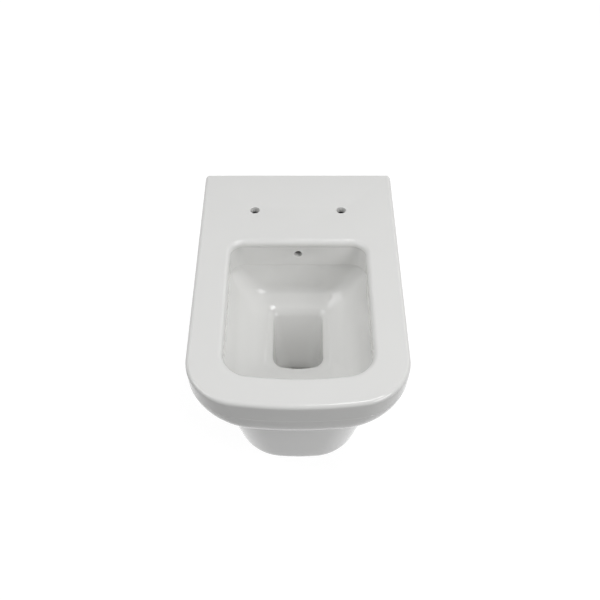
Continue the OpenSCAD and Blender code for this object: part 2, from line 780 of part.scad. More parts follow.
// Cup of the waste connector: wall, gap round the spigot, length, inner radius and inner end
cup_t = 4;
cup_gap = 4;
cup_len = 38;
cup_in_r = spigot_d / 2 + cup_gap;
cup_p = spigot_p - fit;
// Rim of the outlet seal that closes the mouth of the cup
seal_rim = 2;
// Sealing lips on the spigot: each by its two ends
spigot_lips = [[12, 17], [30, 36]];
// Shoulder between cup and pipe, and the bevels on it
shoulder_t = 4;
bevel = 3;

// Rubber lip seal inside the cup of the waste connector
module outlet_seal() {
  r_in = spigot_d / 2 + seal_fit;
  r_out = cup_in_r - seal_fit;
  r_free = r_in + relief;
  r_rim = r_out + cup_t;
  color(rubber) translate([0, y_of(cup_p), z_of(outlet_q)]) rotate([90, 0, 0])
    rotate_extrude($fn = 96) polygon(concat(
      [[r_free, seal_rim], [r_out, seal_rim], [r_out, cup_len - seal_rim], [r_rim, cup_len - seal_rim],
        [r_rim, cup_len + seal_rim], [r_free, cup_len + seal_rim]],
      [for (lip = [spigot_lips[1], spigot_lips[0]])
        each [[r_in, lip[1]], [r_in, lip[0]], [r_free, lip[0] - lip_slope]]]));
}

// Waste connector: a cup over the spigot and the pipe into the wall
module waste_connector() {
  r_pipe = waste_d / 2;
  r_cup = cup_in_r + cup_t;
  mouth = cup_len - seal_rim - fit;
  back = cup_p + gasket_t + waste_back;
  color(pipe_black) translate([0, y_of(cup_p), z_of(outlet_q)]) rotate([90, 0, 0])
    rotate_extrude($fn = 96) polygon([
      [r_pipe - waste_t, -back], [r_pipe, -back], [r_pipe, -shoulder_t - bevel],
      [r_pipe + bevel, -shoulder_t], [r_cup - bevel, -shoulder_t], [r_cup, bevel - shoulder_t],
      [r_cup, mouth], [cup_in_r, mouth], [cup_in_r, 0], [r_pipe - waste_t, 0]]);
}

// How far the gasket lies inside the outline of the pan
gasket_in = 4;
// Gap round the pieces that pass through the gasket
gasket_gap = 1;

// Foam sheet between the pan and the wall
module wall_gasket() {
  hw = pan_w / 2 - gasket_in;
  under_q = mix(band_h, leg_q, 0.4);
  under_hw = pan_w / 2 - under_in(under_q) - gasket_in;
  leg_top = leg_hw(leg_q) - gasket_in;
  leg = leg_hw(pan_h - foot_r) - gasket_in;
  color(foam) difference() {
    translate([0, 0, deck_z]) rotate([90, 0, 0]) linear_extrude(height = gasket_t) polygon([
      [-hw, -gasket_in], [hw, -gasket_in], [hw, -band_h], [under_hw, -under_q],
      [leg_top, -leg_q], [leg, foot_r - pan_h], [leg - foot_r, gasket_in - pan_h],
      [foot_r - leg, gasket_in - pan_h], [-leg, foot_r - pan_h], [-leg_top, -leg_q],
      [-under_hw, -under_q], [-hw, -band_h]]);
    tube_y(0, inlet_q, -gasket_t - overlap, gasket_t + 2 * overlap,
      inlet_d + 2 * (collar + gasket_gap));
    for (x = [-1, 1] * fix_spacing / 2)
      tube_y(x, fix_q, -gasket_t - overlap, gasket_t + 2 * overlap, hub_plate_d + 2 * gasket_gap);
    translate([0, overlap, z_of(window_top)]) rotate([90, 0, 0])
      linear_extrude(height = gasket_t + 2 * overlap)
        translate([-window_w / 2, -window_h]) square([window_w, window_h]);
  }
}

rim_deck();
bowl();
rear_wall();
belly();
lower_body();
foot();
trap_inlet();
trap_bend();
trap_weir();
waste_spigot();
inlet_horn();
wall_studs();
stud_washers();
stud_nuts();
fixing_brackets();
lock_screws();
screw_bushes();
cover_caps();
inlet_seal();
flush_pipe();
outlet_seal();
waste_connector();
wall_gasket();
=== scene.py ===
"""Wall hung toilet pan on a pale floor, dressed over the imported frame."""

import json
import math

import bpy
import numpy as np
from mathutils import Matrix, Vector

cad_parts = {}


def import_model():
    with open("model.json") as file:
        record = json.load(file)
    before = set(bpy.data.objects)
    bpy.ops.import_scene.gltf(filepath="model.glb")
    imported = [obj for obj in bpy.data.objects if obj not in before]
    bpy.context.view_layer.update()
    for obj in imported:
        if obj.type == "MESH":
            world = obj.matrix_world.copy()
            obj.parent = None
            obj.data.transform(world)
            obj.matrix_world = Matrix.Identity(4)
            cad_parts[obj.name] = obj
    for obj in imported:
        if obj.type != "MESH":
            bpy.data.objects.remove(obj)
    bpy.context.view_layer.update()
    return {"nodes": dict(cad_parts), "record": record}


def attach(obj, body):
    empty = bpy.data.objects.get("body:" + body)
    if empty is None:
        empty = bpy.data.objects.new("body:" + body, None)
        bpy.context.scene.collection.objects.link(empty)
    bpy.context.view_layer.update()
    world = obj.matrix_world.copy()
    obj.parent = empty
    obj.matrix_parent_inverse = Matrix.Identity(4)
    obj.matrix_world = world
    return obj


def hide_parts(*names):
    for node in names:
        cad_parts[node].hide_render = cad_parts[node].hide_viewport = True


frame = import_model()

# Sizes in millimetres, as in the part's source where it has them. p is the distance from the rear
# face of the pan towards the front, q is the depth below the deck.

# Pan: outline, edges, band and walls
GASKET_T, DECK_Z = 3.0, 80.0
PAN_W, PAN_LEN, PAN_H = 346.0, 525.0, 332.0
EDGE_R, REAR_EDGE_R, BAND_H = 6.5, 1.5, 36.0
CORNER_R, FRONT_BOW, REAR_CORNER_R = 87.0, 672.0, 7.0
# Extra radius of the front corners at the foot of the band, and gained below it
BAND_CORNER, UNDER_CORNER = 7.0, 24.0
DECK_T, WALL_T, REAR_T = 12.0, 11.0, 14.0
# Radius of the upright corners on the inside of the rear wall
INNER_R = 1.0
# Depth of the fine groove where the rim casting meets the casing below it
SEAM = 0.35

# Opening, lip, skirt, jet hole and rinsing slots
OPEN_W, OPEN_REAR, OPEN_LEN = 233.0, 179.0, 289.0
OPEN_FRONT = OPEN_REAR + OPEN_LEN
OPEN_REAR_R, OPEN_FRONT_R, OPEN_BOW = 25.0, 45.0, 560.0
LIP_R, LIP_OUT = 9.0, 2.5
SKIRT_H, SKIRT_T, SKIRT_OUT, SKIRT_CHAMFER = 60.0, 10.0, 4.0, 2.0
JET_D, JET_Q, JET_MOUTH_R = 14.0, 32.5, 0.8
# The slots at the sides keep this far from the corners of the opening
SLOT_COUNT, SLOT_LEN, SLOT_H, SLOT_INSET, FRONT_SLOT_X = 4, 26.0, 4.0, 20.0, 30.0

# Bowl: top, bend, sump and well
BOWL_REAR_R = 20.0
SHELF_Q, SHELF_W, SHELF_REAR, SHELF_LEN = 120.0, 192.0, 178.0, 262.0
SHELF_REAR_R, SHELF_FRONT_R, SHELF_BOW = 45.0, 70.0, 400.0
# How much thicker the bowl is at its floor than at its walls
FLOOR_DROP = 7.0
# How much lower the glazed floor lies at the rear and front of the bowl and at the crease before
# the sump, and its sag between them
BEND_DROP, CREASE_DROP, FLOOR_SAG = 5.0, 0.5, 0.8
# Shares of the floor and of the sump's wall that the rounded edge of the sump takes
EDGE_FLOOR, EDGE_WELL = 0.21, 0.07
# Shares of the wall and of the floor that the bend between them takes at the rear and front of the
# bowl, and what they gain at its sides
BEND_WALL, BEND_WALL_GAIN, BEND_FLOOR, BEND_FLOOR_GAIN = 0.10, 0.30, 0.16, 0.39
SUMP_Q, SUMP_W, SUMP_REAR, SUMP_LEN = 146.0, 89.0, 216.0, 124.0
SUMP_REAR_R, SUMP_FRONT_R, SUMP_BOW = 9.0, 23.0, 120.0
TRAP_R = 32.0
# The rear wall of the sump leans forward as in the photograph. The solids have it upright.
TRAP_Q, WELL_HW, WELL_REAR, WELL_FRONT, WELL_R, WELL_BOW = 233.0, 38.0, 273.0, 339.0, 26.0, 90.0
TRAP_MID = WELL_REAR + TRAP_R
FLANGE_T, CHANNEL_REAR, CHANNEL_WALL_T = 10.0, 130.0, 10.0

# Underside, lower body and the service window
UNDER_R, LEG_Q, UNDER_END, NECK_Q = 80.0, 100.0, 90.0, 112.0
LEG_TOP_W, LEG_LOW_W, LEG_TOP_LEN, LEG_LOW_LEN = 270.0, 200.0, 492.0, 420.0
LEG_TOP_R, LEG_LOW_R, LEG_BOW, FOOT_R = 95.0, 77.0, 360.0, 56.0
FOOT_Q = PAN_H - FOOT_R
WINDOW_W, WINDOW_TOP, WINDOW_H = 144.0, 112.0, 150.0

# Seat holes, fixings, inlet and outlet
SEAT_SPACING, SEAT_SETBACK, SEAT_D, SEAT_MOUTH_R = 155.0, 97.0, 16.5, 1.0
FIX_SPACING, FIX_Q, HUB_D, HUB_LEN = 180.0, 80.0, 28.0, 62.0
STUD_D, STUD_PITCH, STUD_BACK, STUD_END = 12.0, 1.75, 45.0, 5.0
NUT_H, NUT_AF, WASHER_T = 10.0, 19.0, 2.5
LOCK_Q, LOCK_P, LOCK_D, LOCK_PITCH, BUSH_HOLE_D = 127.0, 45.0, 10.0, 1.5, 20.0
SCREW_LEN, SCREW_IN, HEX_KEY, HEX_DEEP = 30.0, 3.0, 5.0, 6.0
INLET_Q, INLET_D, INLET_SOCKET, HORN_D, PASSAGE_D = 45.0, 55.0, 48.0, 66.0, 46.0
OUTLET_Q, SPIGOT_D, SPIGOT_BORE, SPIGOT_P, SPIGOT_LEN = 180.0, 102.0, 84.0, 20.0, 40.0
HORN_MOUTH_R, SPIGOT_MOUTH_R = 2.0, 2.5
# Gap between pieces, and play in a thread
FIT, PLAY = 0.3, 0.2
# How far a cutter reaches past what it cuts
OVER = 1.0

# Points along each rear corner, each front corner and the bowed front of an outline
REAR_N, FRONT_N, BOW_N = 8, 26, 22
# Edges sharper than this stay creased
SHARP = math.radians(38)
# One millimetre up in metres, taken away to lower a ring
UP = np.array([0.0, 0.0, 0.001])
# Turns the z axis of a cutter towards the front
TO_FRONT = Matrix.Rotation(math.pi / 2, 4, "X")


def mix(a, b, s):
    """Value at the share s of the way from a to b."""
    return a + (b - a) * s


def pair(spacing):
    """The places on both sides of the middle plane."""
    return -spacing / 2, spacing / 2


def front_points(hw, p1, rf, bow):
    """The two large front corners and the bowed front of a plan outline."""
    cx, by = hw - rf, p1 - bow
    cy = by + math.sqrt((bow - rf) ** 2 - cx * cx)
    turn = math.atan2(cy - by, cx)
    turns = [turn * i / FRONT_N for i in range(FRONT_N + 1)]
    corner = [(cx + rf * math.cos(a), cy + rf * math.sin(a)) for a in turns]
    angles = [mix(turn, math.pi - turn, i / BOW_N) for i in range(1, BOW_N)]
    middle = [(bow * math.cos(a), by + bow * math.sin(a)) for a in angles]
    return corner + middle + [(-x, p) for x, p in reversed(corner)]


def rear_points(hw, p0, rr):
    """The right rear corner of a plan outline."""
    angles = [math.pi / 2 * i / REAR_N - math.pi / 2 for i in range(REAR_N + 1)]
    return [(hw - rr + rr * math.cos(a), p0 + rr + rr * math.sin(a)) for a in angles]


def outline(hw, p0, p1, rr, rf, bow):
    """Plan outline with rounded rear corners, large front corners and a bowed front."""
    right = rear_points(hw, p0, rr)
    return right + front_points(hw, p1, rf, bow) + [(-x, p) for x, p in reversed(right)]


def ring(points, q):
    """A ring of points at depth q, or each at its own depth, as an array in metres."""
    depths = np.broadcast_to(q, len(points))
    return np.array([(x, -GASKET_T - p, DECK_Z - d) for (x, p), d in zip(points, depths)]) / 1000


def corner_extra(q):
    """Extra plan radius of the front corners at depth q."""
    if q <= BAND_H:
        return BAND_CORNER * max(0.0, q - EDGE_R) / (BAND_H - EDGE_R)
    return BAND_CORNER + UNDER_CORNER * (q - BAND_H) / (UNDER_END - BAND_H)


def pan_outline(d, back, q):
    """Outline of the pan at depth q, moved in by d at the sides and front."""
    rr = max(INNER_R, REAR_CORNER_R - min(d, back + REAR_CORNER_R))
    rf = CORNER_R - d + corner_extra(q)
    return outline(PAN_W / 2 - d, back, PAN_LEN - d, rr, rf, FRONT_BOW - d)


def open_outline(d):
    """Outline of the bowl opening, moved out by d."""
    return outline(OPEN_W / 2 + d, OPEN_REAR - d, OPEN_FRONT + d,
                   OPEN_REAR_R + d, OPEN_FRONT_R + d, OPEN_BOW + d)


def under_in(q):
    """How far the rounded underside has drawn in at depth q."""
    return UNDER_R - math.sqrt(UNDER_R ** 2 - max(0.0, q - BAND_H) ** 2)


def mesh_object(name, points, faces, node_slot):
    """A smooth mesh object with sharp creases kept, riding on the one body."""
    mesh = bpy.data.meshes.new(name)
    mesh.from_pydata([tuple(v) for v in points], [], faces)
    mesh.validate()
    mesh.shade_smooth()
    mesh.set_sharp_from_angle(angle=SHARP)
    mesh.materials.append(SLOTS[node_slot])
    obj = bpy.data.objects.new(name, mesh)
    bpy.context.collection.objects.link(obj)
    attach(obj, "root")
    return obj


def loft_faces(count, n, looped):
    """Quads between rings of n points, with flat caps where the rings don't loop."""
    faces = []
    for i in range(count if looped else count - 1):
        a0, b0 = i * n, (i + 1) % count * n
        faces += [(a0 + j, a0 + (j + 1) % n, b0 + (j + 1) % n, b0 + j) for j in range(n)]
    if not looped:
        faces.append(tuple(reversed(range(n))))
        faces.append(tuple(range((count - 1) * n, count * n)))
    return faces


def loft(name, rings, looped):
    """A closed surface of glazed china through rings of equal length."""
    faces = loft_faces(len(rings), len(rings[0]), looped)
    return mesh_object(name, np.concatenate(rings), faces, "glazed_china")


def combine(obj, tools, operation):
    """Applies the tool meshes to obj with the boolean operation, and removes them."""
    for tool in tools:
        modifier = obj.modifiers.new("tool", "BOOLEAN")
        modifier.operation, modifier.solver, modifier.object = operation, "EXACT", tool
    depsgraph = bpy.context.evaluated_depsgraph_get()
    mesh = bpy.data.meshes.new_from_object(obj.evaluated_get(depsgraph))
    obj.modifiers.clear()
    old, obj.data = obj.data, mesh
    bpy.data.meshes.remove(old)
    for tool in tools:
        bpy.data.objects.remove(tool, do_unlink=True)
    mesh.shade_smooth()
    mesh.set_sharp_from_angle(angle=SHARP)


def tool_mesh(points, faces, matrix):
    """A bare mesh used to cut another one."""
    mesh = bpy.data.meshes.new("tool")
    mesh.from_pydata([tuple(matrix @ Vector(v)) for v in points], [], faces)
    obj = bpy.data.objects.new("tool", mesh)
    bpy.context.collection.objects.link(obj)
    return obj


def arc(steps):
    """Angles of a quarter turn in equal steps."""
    return [math.pi / 2 * i / steps for i in range(steps + 1)]


def circle(r, h, steps):
    """Points of a level circle of radius r at height h."""
    turns = [2 * math.pi * k / steps for k in range(steps)]
    return [(r * math.cos(a), r * math.sin(a), h) for a in turns]


def turned_tool(profile, matrix):
    """A closed turned solid. The profile lists radius and height in millimetres, upwards."""
    steps = 64
    points = [v for r, h in profile for v in circle(r / 1000, h / 1000, steps)]
    return tool_mesh(points, loft_faces(len(profile), steps, False), matrix)


def flared(r, depth, round_r):
    """Profile of the cutter for a hole of that depth, whose mouth at height 0 is rounded."""
    mouth = [(r + round_r * (1 - math.cos(a)), round_r * (math.sin(a) - 1)) for a in arc(6)]
    return [(r, -depth - 2 * OVER)] + mouth + [(r + round_r, OVER)]


def at(x, p, q, turn=None):
    """Frame of a feature at x, p and q, in metres."""
    place = Matrix.Translation(Vector((x, -GASKET_T - p, DECK_Z - q)) / 1000)
    return place @ turn if turn else place


def box_tool(x0, x1, p0, p1, q0, q1):
    """A box cutter."""
    corners = [(x / 1000, (-GASKET_T - p) / 1000, (DECK_Z - q) / 1000)
               for q in (q1, q0) for x, p in ((x0, p1), (x1, p1), (x1, p0), (x0, p0))]
    return tool_mesh(corners, loft_faces(2, 4, False), Matrix())


# Materials

# The range in which noise mostly lies
NOISE_LOW, NOISE_HIGH = 0.3, 0.7
# How much finer the patches of roughness are than the clouds of colour
PATCH_FINER = 2.3


def new_material(name):
    """A material with its Principled shader, its nodes and its links."""
    material = bpy.data.materials.new(name)
    material.use_nodes = True
    return material, material.node_tree.nodes, material.node_tree.links


def noise(nodes, links, scale, detail):
    """Noise over the object's own coordinates, in features per metre."""
    coords = nodes.new("ShaderNodeTexCoord")
    texture = nodes.new("ShaderNodeTexNoise")
    texture.inputs["Scale"].default_value = scale
    texture.inputs["Detail"].default_value = detail
    texture.inputs["Roughness"].default_value = 0.5
    links.new(coords.outputs["Object"], texture.inputs["Vector"])
    return texture


def ramp(nodes, links, source, stops):
    """Colour ramp on a texture's factor."""
    node = nodes.new("ShaderNodeValToRGB")
    elements = node.color_ramp.elements
    for element, (place, colour) in zip(elements, stops):
        element.position, element.color = place, (*colour, 1.0)
    links.new(source, node.inputs["Fac"])
    return node


def spread(nodes, links, source, low, high):
    """Maps a texture's factor to the range low to high."""
    node = nodes.new("ShaderNodeMapRange")
    values = {"From Min": NOISE_LOW, "From Max": NOISE_HIGH, "To Min": low, "To Max": high}
    for name, value in values.items():
        node.inputs[name].default_value = value
    links.new(source, node.inputs["Value"])
    return node


def bump(nodes, links, source, distance):
    """Bump from a texture's factor. The distance is in metres."""
    node = nodes.new("ShaderNodeBump")
    node.inputs["Strength"].default_value = 1.0
    node.inputs["Distance"].default_value = distance
    links.new(source, node.inputs["Height"])
    links.new(node.outputs["Normal"], nodes["Principled BSDF"].inputs["Normal"])


def surface(name, low, high, scale, rough, bump_scale, bump_depth, **sockets):
    """A material whose colour and roughness vary gently, over a fine relief."""
    material, nodes, links = new_material(name)
    shader = nodes["Principled BSDF"]
    cloud = noise(nodes, links, scale, 3)
    tint = ramp(nodes, links, cloud.outputs["Fac"], [(NOISE_LOW, low), (NOISE_HIGH, high)])
    links.new(tint.outputs["Color"], shader.inputs["Base Color"])
    patch = noise(nodes, links, scale * PATCH_FINER, 2)
    gloss = spread(nodes, links, patch.outputs["Fac"], *rough)
    links.new(gloss.outputs["Result"], shader.inputs["Roughness"])
    grain = noise(nodes, links, bump_scale, 3)
    bump(nodes, links, grain.outputs["Fac"], bump_depth)
    for socket, value in sockets.items():
        shader.inputs[socket.replace("_", " ")].default_value = value
    return material


# Each slot's two tones, the scale of their clouds, the range of its roughness, and the scale and
# depth of its relief
SLOTS = {
    "glazed_china": surface("glazed_china", (0.855, 0.855, 0.842), (0.865, 0.865, 0.852), 9,
                            (0.03, 0.06), 160, 0.000005, IOR=1.5),
    "zinc_steel": surface("zinc_steel", (0.50, 0.51, 0.53), (0.60, 0.60, 0.61), 120,
                          (0.28, 0.42), 900, 0.00002, Metallic=1.0),
    "white_plastic": surface("white_plastic", (0.74, 0.74, 0.73), (0.77, 0.77, 0.76), 60,
                             (0.28, 0.36), 700, 0.00001),
    "black_rubber": surface("black_rubber", (0.018, 0.018, 0.02), (0.03, 0.03, 0.032), 90,
                            (0.6, 0.75), 1500, 0.00004),
    "black_pipe": surface("black_pipe", (0.025, 0.025, 0.027), (0.04, 0.04, 0.042), 50,
                          (0.35, 0.48), 500, 0.00002),
    "foam": surface("foam", (0.55, 0.56, 0.56), (0.62, 0.63, 0.62), 250,
                    (0.8, 0.95), 1400, 0.0002),
}


def dress_nodes():
    """Gives each node of the frame the material of its slot."""
    for part in frame["record"]["subparts"]:
        node = frame["nodes"][part["node"]]
        node.data.materials.clear()
        node.data.materials.append(SLOTS[part["material_slot"]])


# Ceramic

def rounded(a, b, c, steps):
    """Rings along the curve that rounds the corner between the rings a, b and c."""
    shares = np.linspace(0, 1, steps + 1)
    return [(1 - t) ** 2 * a + 2 * t * (1 - t) * b + t * t * c for t in shares]


def straight(a, b, steps):
    """Rings strictly between the rings a and b."""
    return [mix(a, b, i / steps) for i in range(1, steps)]


def sagging(a, b, steps):
    """Rings between the rings a and b that sag towards b, and end in a crease there."""
    last = 0.985
    shares = [i / steps for i in range(1, steps)] + [last]
    # 6.75 s s (1 - s) is one at two thirds of the way, and nought at both ends
    return [mix(a, b, s) - UP * FLOOR_SAG * 6.75 * s * s * (1 - s) for s in shares]


def hole(x, q, d, p, wall):
    """Cutter for a round hole through an upright wall whose rear face is at p."""
    return turned_tool([(d / 2, -OVER), (d / 2, wall + OVER)], at(x, p, q, TO_FRONT))


def cross_wall():
    """The wall behind the rim channel, reaching a little into the band and the deck."""
    inner, low = PAN_W / 2 - WALL_T, under_in(SKIRT_H) + FIT
    half = [(inner - low, SKIRT_H), (inner, BAND_H), (inner + OVER, BAND_H),
            (inner + OVER, DECK_T - OVER)]
    section = half + [(-x, q) for x, q in reversed(half)]
    points = [tuple(at(x, p, q).translation)
              for p in (CHANNEL_REAR, CHANNEL_REAR + CHANNEL_WALL_T) for x, q in section]
    return tool_mesh(points, loft_faces(2, len(section), False), Matrix())


def slot_tools():
    """Cutters for the rinsing slots through the lower edge of the skirt."""
    side_x, front_p = OPEN_W / 2 + LIP_OUT + SKIRT_T / 2, OPEN_FRONT + LIP_OUT + SKIRT_T / 2
    first, last = OPEN_REAR + OPEN_REAR_R + SLOT_INSET, OPEN_FRONT - OPEN_FRONT_R - SLOT_INSET
    # The cutters reach past the skirt, and past the length of a slot by as much
    across, along = SKIRT_T + 4 * OVER, SLOT_LEN + 4 * OVER
    places = [(x, mix(first, last, i / (SLOT_COUNT - 1)), across, along)
              for x in (-side_x, side_x) for i in range(SLOT_COUNT)]
    places += [(x, front_p, along, across) for x in (-FRONT_SLOT_X, FRONT_SLOT_X)]
    return [box_tool(x - w / 2, x + w / 2, p - d / 2, p + d / 2, SKIRT_H - SLOT_H, SKIRT_H + OVER)
            for x, p, w, d in places]


def rim_rings():
    """Rings of the rim casting, from the seam up over the deck, down the skirt and back inside."""
    lip_end = math.pi - math.asin(1 - LIP_OUT / LIP_R)
    # Two rings this close to the rounded edges keep the shading of the deck flat
    near = 0.6
    rings = [ring(pan_outline(SEAM, 0, BAND_H), BAND_H)]
    rings += [ring(pan_outline(0, 0, q), q) for q in np.linspace(BAND_H - SEAM, EDGE_R, 5)]
    for a in arc(10)[1:]:
        side, back = EDGE_R * (1 - math.cos(a)), REAR_EDGE_R * (1 - math.cos(a))
        rings.append(ring(pan_outline(side, back, 0), EDGE_R * (1 - math.sin(a))))
    rings.append(ring(pan_outline(EDGE_R + near, REAR_EDGE_R + near, 0), 0))
    rings.append(ring(open_outline(LIP_R + near), 0))
    rings += [ring(open_outline(LIP_R * (1 - math.sin(a))), LIP_R * (1 - math.cos(a)))
              for a in np.linspace(0, lip_end, 21)]
    rings += [ring(open_outline(LIP_OUT + SKIRT_CHAMFER * (1 - math.cos(a))),
                   SKIRT_H - SKIRT_CHAMFER * (1 - math.sin(a))) for a in arc(5)]
    rings += [ring(open_outline(LIP_OUT + SKIRT_T), q) for q in (SKIRT_H, DECK_T)]
    return rings + [ring(pan_outline(WALL_T, REAR_T, q), q) for q in (DECK_T, BAND_H)]


def rim_deck():
    """Deck, band, rounded lip and rim skirt in one smooth surface."""
    rim = loft("rim_deck_glazed", rim_rings(), True)
    combine(rim, [cross_wall()], "UNION")
    seat, jet = flared(SEAT_D / 2, DECK_T, SEAT_MOUTH_R), flared(JET_D / 2, SKIRT_T, JET_MOUTH_R)
    tools = [turned_tool(seat, at(x, SEAT_SETBACK, 0)) for x in pair(SEAT_SPACING)]
    tools.append(turned_tool(jet, at(0, OPEN_REAR - LIP_OUT, JET_Q, TO_FRONT)))
    tools.append(hole(0, INLET_Q, HORN_D + 2 * FIT, 0, REAR_T))
    tools.append(hole(0, INLET_Q, PASSAGE_D, CHANNEL_REAR, CHANNEL_WALL_T))
    combine(rim, tools + slot_tools(), "DIFFERENCE")
    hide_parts("rim_deck")


def bowl_top(d, q):
    """Ring of the bowl below the skirt, grown by d."""
    e = LIP_OUT + SKIRT_OUT + d
    return ring(outline(OPEN_W / 2 + e, OPEN_REAR - e, OPEN_FRONT + e, BOWL_REAR_R + d,
                        OPEN_FRONT_R + e, OPEN_BOW + e), q)


def bowl_bend(d, q):
    """Ring of the bowl where its steep wall meets the floor, grown by d."""
    return ring(outline(SHELF_W / 2 + d, SHELF_REAR - d, SHELF_REAR + SHELF_LEN + d,
                        SHELF_REAR_R + d, SHELF_FRONT_R + d, SHELF_BOW + d), q)


def well_points(s, d):
    """Outline of the sump well at the share s of the way down, grown by d."""
    return outline(mix(SUMP_W / 2, WELL_HW, s) + d, mix(SUMP_REAR, WELL_REAR, s) - d,
                   mix(SUMP_REAR + SUMP_LEN, WELL_FRONT, s) + d, mix(SUMP_REAR_R, WELL_R, s) + d,
                   mix(SUMP_FRONT_R, WELL_R, s) + d, mix(SUMP_BOW, WELL_BOW, s) + d)


def sideways():
    """Nought to one for each point of the bowl's bend, from the middle plane to its widest."""
    points = outline(SHELF_W / 2, SHELF_REAR, SHELF_REAR + SHELF_LEN,
                     SHELF_REAR_R, SHELF_FRONT_R, SHELF_BOW)
    return np.array([[abs(x) / (SHELF_W / 2)] for x, p in points]) ** 2


def bowl_inside():
    """Rings of the bowl's inner face, from below the skirt to the top of the trap."""
    top, bend = bowl_top(0, SKIRT_H), bowl_bend(0, SHELF_Q)
    edge, well = ring(well_points(0, 0), SUMP_Q), ring(well_points(1, 0), TRAP_Q)
    edge_start = mix(edge, bend, EDGE_FLOOR) - UP * CREASE_DROP
    edge_end = mix(edge, well, EDGE_WELL)
    # The bend is tighter and lower at the rear and front than along the sides
    side = sideways()
    bend = bend - UP * BEND_DROP * (1 - side)
    start = mix(bend, top, BEND_WALL + BEND_WALL_GAIN * side)
    end = mix(bend, edge_start, BEND_FLOOR + BEND_FLOOR_GAIN * side)
    rings = [top] + straight(top, start, 5) + rounded(start, bend, end, 14)
    rings += sagging(end, edge_start, 8) + rounded(edge_start, edge, edge_end, 10)
    return rings + straight(edge_end, well, 8)


def bowl_outside():
    """Rings of the bowl's outer face, from the top of the trap to the flange under the channel."""
    flange = SKIRT_H + FLANGE_T
    edge = ring(well_points(0, WALL_T), SUMP_Q + FLOOR_DROP)
    bend, top = bowl_bend(WALL_T, SHELF_Q + FLOOR_DROP), bowl_top(WALL_T, flange)
    # Shares of the well above its lowest ring here, and of the floor and wall that the bend takes
    well_s, floor_s, wall_s = 0.4, 0.3, 0.2
    rings = [ring(well_points(well_s, WALL_T), mix(SUMP_Q, TRAP_Q, well_s)), edge]
    rings += rounded(mix(bend, edge, floor_s), bend, mix(bend, top, wall_s), 6) + [top]
    return rings + [ring(pan_outline(WALL_T + under_in(q) + FIT, CHANNEL_REAR, q), q)
                    for q in (flange, SKIRT_H)]


def trap_path():
    """Centre line of the trap: each entry is p, q and the direction of the passage there."""
    # The outer wall keeps a radius of one on the inside of its bends
    bend_r = TRAP_R + WALL_T + 1
    spigot_in = SPIGOT_P + SPIGOT_LEN
    # Length over which the passage opens to the spigot, and height of its crest over the outlet
    flare, rise = 8, 10
    turn = math.acos(1 - rise / (2 * bend_r))
    bend = np.array([TRAP_MID - bend_r, TRAP_Q])
    weir = np.array([spigot_in + flare + 2 * bend_r * math.sin(turn), OUTLET_Q - rise + bend_r])
    gap = bend - weir
    limb = math.atan2(gap[1], gap[0]) + math.asin(2 * bend_r / math.hypot(*gap))

    def around(centre, a):
        return centre[0] + bend_r * math.cos(a), centre[1] + bend_r * math.sin(a)

    bend_turns, weir_turns = np.linspace(0, math.pi / 2 + limb, 25), np.linspace(limb, -turn, 19)
    path = [(around(bend, a), (-math.sin(a), math.cos(a))) for a in bend_turns]
    path += [(around(weir, a - math.pi / 2), (-math.cos(a), -math.sin(a))) for a in weir_turns]
    out = np.array([spigot_in + flare, OUTLET_Q - bend_r])
    path += [(around(out, a + math.pi / 2), (-math.cos(a), -math.sin(a)))
             for a in np.linspace(-turn, 0, 8)[1:]]
    return path + [((spigot_in, OUTLET_Q), (-1, 0))]


def round_turns():
    """Angle on the round passage of each point of an outline."""
    # Half the angle that a straight side takes, and where the front corners meet the bow
    gap, bow = math.radians(8), math.radians(48)
    rear = [mix(gap - math.pi / 2, -gap, i / REAR_N) for i in range(REAR_N + 1)]
    front = [mix(gap, bow, i / FRONT_N) for i in range(FRONT_N + 1)]
    middle = [mix(bow, math.pi - bow, i / BOW_N) for i in range(1, BOW_N)]
    return rear + front + middle + [math.pi - a for a in reversed(rear + front)]


def round_unit():
    """Points of the unit circle that belong to the points of an outline."""
    turns = np.array(round_turns())
    return np.column_stack([np.cos(turns), np.sin(turns)])


def trap_rings(d):
    """Rings of the trap passage, grown by d, from the well to where the spigot starts."""
    path, unit, easing = trap_path(), round_unit(), 8
    square = np.array([(x, p - TRAP_MID) for x, p in well_points(1, d)])
    end_r = (SPIGOT_D if d else SPIGOT_BORE) / 2
    rings = []
    for i, (centre, (tp, tq)) in enumerate(path):
        r = end_r if i == len(path) - 1 else TRAP_R + d
        # Squared at the well, and eased to round over the first rings
        ease = min(1.0, i / easing)
        section = mix(square, r * unit, ease * ease * (3 - 2 * ease))
        points = [(x, centre[0] + v * tq) for x, v in section]
        rings.append(ring(points, [centre[1] - v * tp for x, v in section]))
    return rings


def spigot_ring(unit, r, p):
    """A round ring of the waste spigot at the distance p."""
    return ring([(r * x, p) for x, v in unit], [OUTLET_Q + r * v for x, v in unit])


def bowl_and_trap():
    """Bowl, sump well, trap and waste spigot as one smooth casting."""
    unit, bore, outer, r = round_unit(), SPIGOT_BORE / 2, SPIGOT_D / 2, SPIGOT_MOUTH_R
    end = [spigot_ring(unit, bore + r * (1 - math.cos(a)), SPIGOT_P + r * (1 - math.sin(a)))
           for a in arc(5)]
    end += [spigot_ring(unit, outer - r * (1 - math.sin(a)), SPIGOT_P + r * (1 - math.cos(a)))
            for a in arc(5)]
    rings = bowl_inside() + trap_rings(0) + end + trap_rings(WALL_T)[::-1] + bowl_outside()
    piece = loft("bowl_trap_glazed", rings, True)
    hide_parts("bowl", "trap_inlet", "trap_bend", "trap_weir", "waste_spigot")


def leg_hw(q):
    """Half the width of the lower body at depth q."""
    return mix(LEG_TOP_W, LEG_LOW_W, (q - LEG_Q) / (PAN_H - LEG_Q)) / 2


